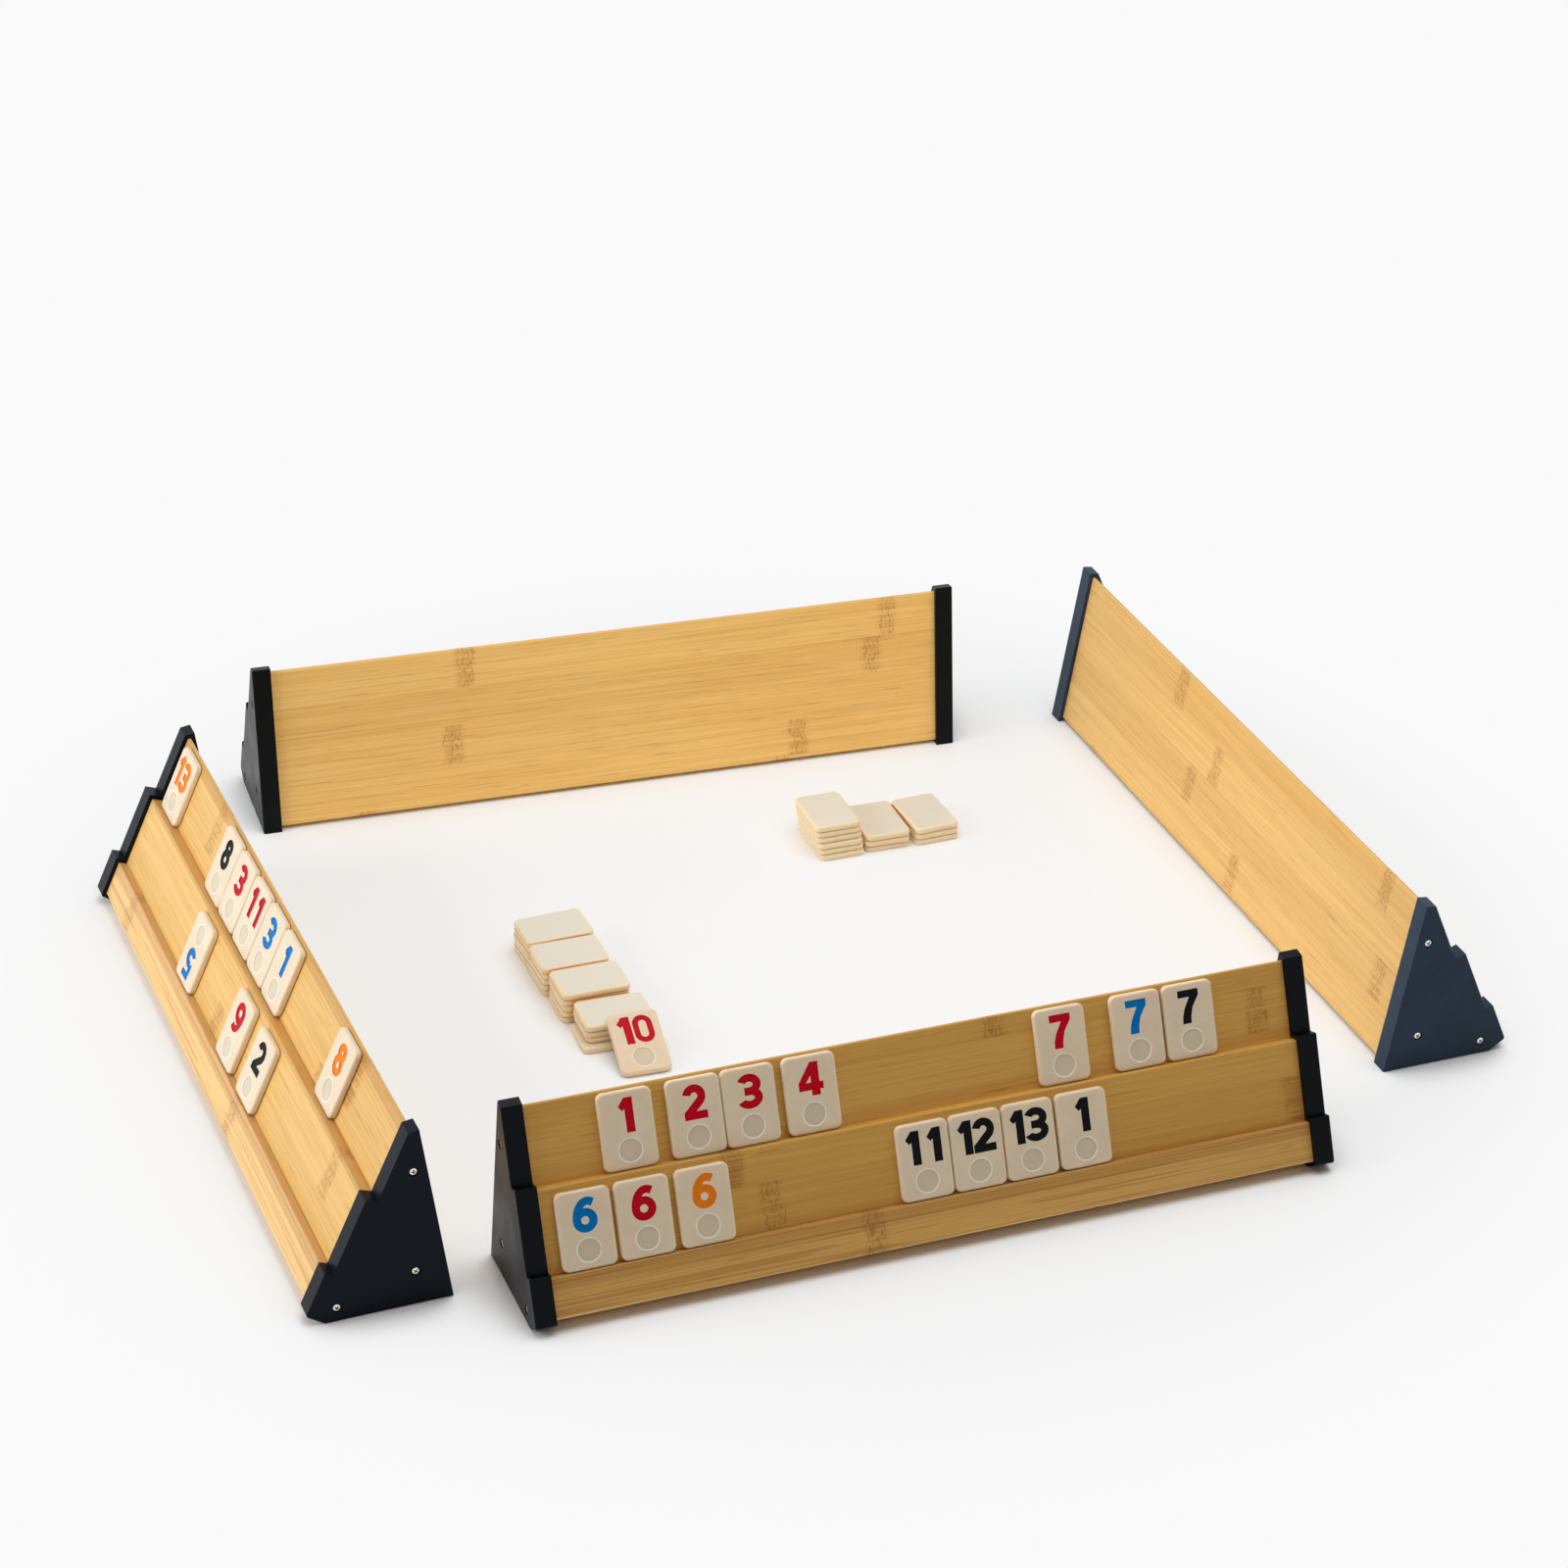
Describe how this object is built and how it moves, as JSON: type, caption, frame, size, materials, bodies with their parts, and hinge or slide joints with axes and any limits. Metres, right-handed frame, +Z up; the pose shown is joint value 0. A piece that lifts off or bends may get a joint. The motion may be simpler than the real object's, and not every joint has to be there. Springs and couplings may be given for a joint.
{
  "type": "rummy tile set",
  "caption": "Stepped bamboo racks with black end caps set in a square, holding numbered ivory rummy tiles on sloped ledges, with stacks of face-down tiles between them.",
  "frame": {"origin": "on the table top, under the middle of the whole set", "axes": "+X to the right along the near rack, +Y away from the near player, +Z up from the table"},
  "size_m": [0.6548, 0.5622, 0.0963],
  "materials": {
    "bamboo": "satin lacquered bamboo strips glued side by side",
    "cap_plastic": "satin black moulded plastic",
    "screw_nickel": "nickel-plated pan-head screw",
    "tile_ivory": "satin ivory moulded plastic"
  },
  "bodies": {
    "near_rack": {"near_back_board": "bamboo", "near_upper_panel": "bamboo", "near_lower_panel": "bamboo", "near_front_rail": "bamboo", "near_foot_batten": "bamboo", "near_left_cap": "cap_plastic", "near_right_cap": "cap_plastic", "near_cap_screws": "screw_nickel"},
    "left_rack": {"left_back_board": "bamboo", "left_upper_panel": "bamboo", "left_lower_panel": "bamboo", "left_front_rail": "bamboo", "left_foot_batten": "bamboo", "left_left_cap": "cap_plastic", "left_right_cap": "cap_plastic", "left_cap_screws": "screw_nickel"},
    "right_rack": {"right_back_board": "bamboo", "right_upper_panel": "bamboo", "right_lower_panel": "bamboo", "right_front_rail": "bamboo", "right_foot_batten": "bamboo", "right_left_cap": "cap_plastic", "right_right_cap": "cap_plastic", "right_cap_screws": "screw_nickel"},
    "far_rack": {"far_back_board": "bamboo", "far_upper_panel": "bamboo", "far_lower_panel": "bamboo", "far_front_rail": "bamboo", "far_foot_batten": "bamboo", "far_left_cap": "cap_plastic", "far_right_cap": "cap_plastic", "far_cap_screws": "screw_nickel"},
    "near_tile_red_1": {"near_tile_red_1": "tile_ivory"},
    "near_tile_red_2": {"near_tile_red_2": "tile_ivory"},
    "near_tile_red_3": {"near_tile_red_3": "tile_ivory"},
    "near_tile_red_4": {"near_tile_red_4": "tile_ivory"},
    "near_tile_red_7": {"near_tile_red_7": "tile_ivory"},
    "near_tile_blue_7": {"near_tile_blue_7": "tile_ivory"},
    "near_tile_black_7": {"near_tile_black_7": "tile_ivory"},
    "near_tile_blue_6": {"near_tile_blue_6": "tile_ivory"},
    "near_tile_red_6": {"near_tile_red_6": "tile_ivory"},
    "near_tile_orange_6": {"near_tile_orange_6": "tile_ivory"},
    "near_tile_black_11": {"near_tile_black_11": "tile_ivory"},
    "near_tile_black_12": {"near_tile_black_12": "tile_ivory"},
    "near_tile_black_13": {"near_tile_black_13": "tile_ivory"},
    "near_tile_black_1": {"near_tile_black_1": "tile_ivory"},
    "left_tile_orange_13": {"left_tile_orange_13": "tile_ivory"},
    "left_tile_black_8": {"left_tile_black_8": "tile_ivory"},
    "left_tile_red_3": {"left_tile_red_3": "tile_ivory"},
    "left_tile_red_11": {"left_tile_red_11": "tile_ivory"},
    "left_tile_blue_3": {"left_tile_blue_3": "tile_ivory"},
    "left_tile_blue_1": {"left_tile_blue_1": "tile_ivory"},
    "left_tile_orange_8": {"left_tile_orange_8": "tile_ivory"},
    "left_tile_blue_5": {"left_tile_blue_5": "tile_ivory"},
    "left_tile_red_9": {"left_tile_red_9": "tile_ivory"},
    "left_tile_black_2": {"left_tile_black_2": "tile_ivory"},
    "tile_wall": {"tile_wall": "tile_ivory"},
    "tall_tile_stack": {"tall_tile_stack": "tile_ivory"},
    "low_tile_stacks": {"low_tile_stacks": "tile_ivory"},
    "table_tile_red_10": {"table_tile_red_10": "tile_ivory"}
  },
  "joints": [
    {"name": "left_rack_pull", "type": "slide", "parent": "near_rack", "child": "left_rack", "axis": [-0.9997, -0.0225, 0], "range_m": [0, 0.08]},
    {"name": "right_rack_pull", "type": "slide", "parent": "near_rack", "child": "right_rack", "axis": [1, 0.0007, 0], "range_m": [0, 0.08]},
    {"name": "far_rack_pull", "type": "slide", "parent": "near_rack", "child": "far_rack", "axis": [0.0581, 0.9983, 0], "range_m": [0, 0.08]},
    {"name": "near_tile_red_1_slide", "type": "slide", "parent": "near_rack", "child": "near_tile_red_1", "axis": [1, 0, 0], "range_m": [-0.033, 0.006]},
    {"name": "near_tile_red_2_lift", "type": "slide", "parent": "near_rack", "child": "near_tile_red_2", "axis": [0, 0.4067, 0.9135], "range_m": [0, 0.046]},
    {"name": "near_tile_red_3_slide", "type": "slide", "parent": "near_rack", "child": "near_tile_red_3", "axis": [1, 0, 0], "range_m": [0, 0.0034]},
    {"name": "near_tile_red_4_slide", "type": "slide", "parent": "near_rack", "child": "near_tile_red_4", "axis": [1, 0, 0], "range_m": [0, 0.05]},
    {"name": "near_tile_red_7_slide", "type": "slide", "parent": "near_rack", "child": "near_tile_red_7", "axis": [1, 0, 0], "range_m": [-0.05, 0.013]},
    {"name": "near_tile_blue_7_lift", "type": "slide", "parent": "near_rack", "child": "near_tile_blue_7", "axis": [0, 0.4067, 0.9135], "range_m": [0, 0.046]},
    {"name": "near_tile_black_7_slide", "type": "slide", "parent": "near_rack", "child": "near_tile_black_7", "axis": [1, 0, 0], "range_m": [0, 0.039]},
    {"name": "near_tile_blue_6_slide", "type": "slide", "parent": "near_rack", "child": "near_tile_blue_6", "axis": [1, 0, 0], "range_m": [-0.0065, 0]},
    {"name": "near_tile_red_6_lift", "type": "slide", "parent": "near_rack", "child": "near_tile_red_6", "axis": [0, 0.4067, 0.9135], "range_m": [0, 0.046]},
    {"name": "near_tile_orange_6_slide", "type": "slide", "parent": "near_rack", "child": "near_tile_orange_6", "axis": [1, 0, 0], "range_m": [0, 0.041]},
    {"name": "near_tile_black_11_slide", "type": "slide", "parent": "near_rack", "child": "near_tile_black_11", "axis": [1, 0, 0], "range_m": [-0.041, 0]},
    {"name": "near_tile_black_12_lift", "type": "slide", "parent": "near_rack", "child": "near_tile_black_12", "axis": [0, 0.4067, 0.9135], "range_m": [0, 0.046]},
    {"name": "near_tile_black_13_lift", "type": "slide", "parent": "near_rack", "child": "near_tile_black_13", "axis": [0, 0.4067, 0.9135], "range_m": [0, 0.046]},
    {"name": "near_tile_black_1_slide", "type": "slide", "parent": "near_rack", "child": "near_tile_black_1", "axis": [1, 0, 0], "range_m": [0, 0.104]},
    {"name": "left_tile_orange_13_slide", "type": "slide", "parent": "left_rack", "child": "left_tile_orange_13", "axis": [0.0225, -0.9997, 0], "range_m": [-0.006, 0.03]},
    {"name": "left_tile_black_8_slide", "type": "slide", "parent": "left_rack", "child": "left_tile_black_8", "axis": [0.0225, -0.9997, 0], "range_m": [-0.031, 0]},
    {"name": "left_tile_red_3_lift", "type": "slide", "parent": "left_rack", "child": "left_tile_red_3", "axis": [0.4066, 0.0092, 0.9135], "range_m": [0, 0.046]},
    {"name": "left_tile_red_11_lift", "type": "slide", "parent": "left_rack", "child": "left_tile_red_11", "axis": [0.4066, 0.0092, 0.9135], "range_m": [0, 0.046]},
    {"name": "left_tile_blue_3_lift", "type": "slide", "parent": "left_rack", "child": "left_tile_blue_3", "axis": [0.4066, 0.0092, 0.9135], "range_m": [0, 0.046]},
    {"name": "left_tile_blue_1_slide", "type": "slide", "parent": "left_rack", "child": "left_tile_blue_1", "axis": [0.0225, -0.9997, 0], "range_m": [0, 0.034]},
    {"name": "left_tile_orange_8_slide", "type": "slide", "parent": "left_rack", "child": "left_tile_orange_8", "axis": [0.0225, -0.9997, 0], "range_m": [-0.033, 0.062]},
    {"name": "left_tile_blue_5_slide", "type": "slide", "parent": "left_rack", "child": "left_tile_blue_5", "axis": [0.0225, -0.9997, 0], "range_m": [-0.116, 0.025]},
    {"name": "left_tile_red_9_slide", "type": "slide", "parent": "left_rack", "child": "left_tile_red_9", "axis": [0.0225, -0.9997, 0], "range_m": [-0.025, 0.005]},
    {"name": "left_tile_black_2_slide", "type": "slide", "parent": "left_rack", "child": "left_tile_black_2", "axis": [0.0225, -0.9997, 0], "range_m": [-0.005, 0.129]},
    {"name": "tile_wall_lift", "type": "slide", "parent": "near_rack", "child": "tile_wall", "axis": [0, 0, 1], "range_m": [0, 0.04]},
    {"name": "table_tile_red_10_lift", "type": "slide", "parent": "tile_wall", "child": "table_tile_red_10", "axis": [0, 0, 1], "range_m": [0, 0.04]},
    {"name": "tall_tile_stack_lift", "type": "slide", "parent": "near_rack", "child": "tall_tile_stack", "axis": [0, 0, 1], "range_m": [0, 0.04]},
    {"name": "low_tile_stacks_lift", "type": "slide", "parent": "near_rack", "child": "low_tile_stacks", "axis": [0, 0, 1], "range_m": [0, 0.04]}
  ]
}
